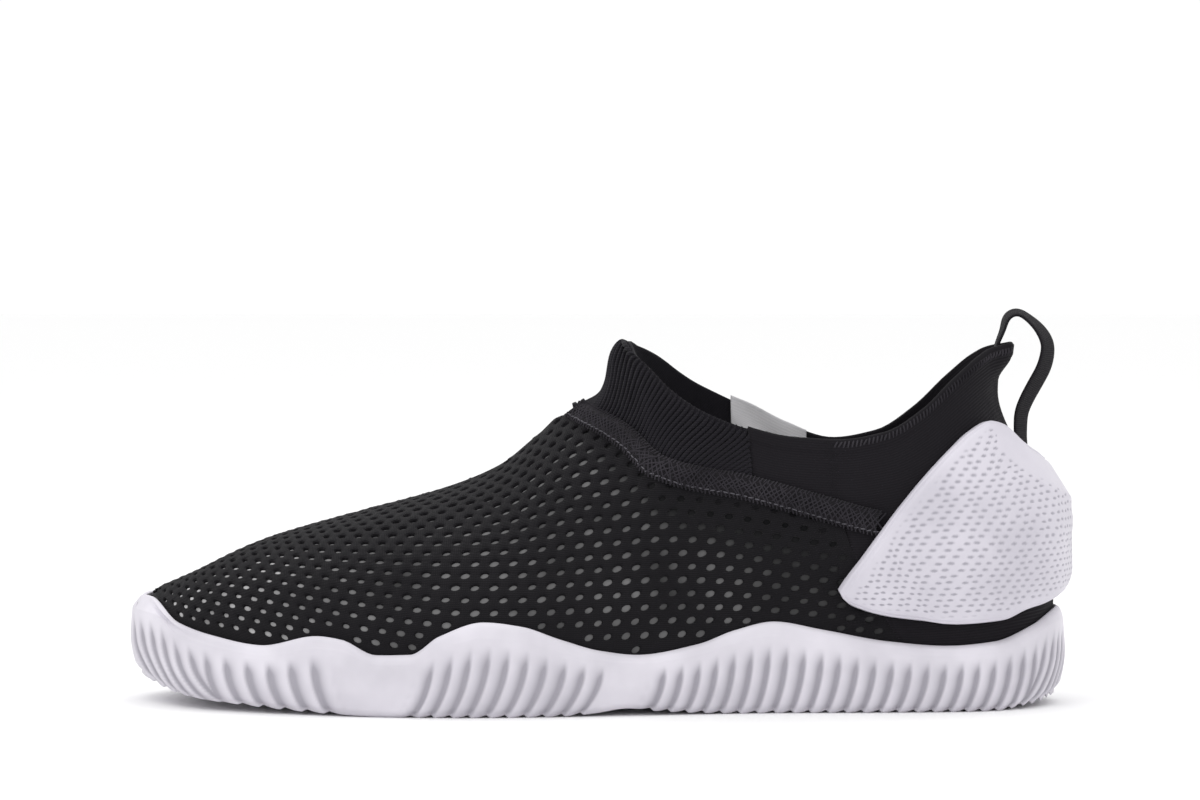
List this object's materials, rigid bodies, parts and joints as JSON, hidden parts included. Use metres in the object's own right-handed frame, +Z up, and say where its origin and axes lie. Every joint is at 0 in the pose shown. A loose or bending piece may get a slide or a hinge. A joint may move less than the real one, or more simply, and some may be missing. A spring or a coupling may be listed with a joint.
{
  "type": "water shoe",
  "caption": "Left slip-on water shoe: a mesh upper with a stretch collar on a moulded cup sole, with a heel clip and a pull loop.",
  "frame": {"origin": "centre of the bounding box in plan, at the level of the sole's lowest faces", "axes": "+X from toe to heel, +Y towards the inner side of the foot, +Z up"},
  "size_m": [0.2854, 0.106, 0.119],
  "materials": {
    "sole_rubber": "matte",
    "insole_foam": "matte",
    "mesh_fabric": "matte",
    "rib_knit": "matte",
    "overlock_seam": "matte",
    "clip_plastic": "satin",
    "webbing": "matte",
    "label_twill": "matte"
  },
  "bodies": {
    "root": {"sole": "sole_rubber", "insole": "insole_foam", "upper": "mesh_fabric", "rib_cuff": "rib_knit", "seam_band": "overlock_seam", "heel_clip": "clip_plastic", "pull_loop": "webbing", "size_label": "label_twill"}
  },
  "joints": []
}
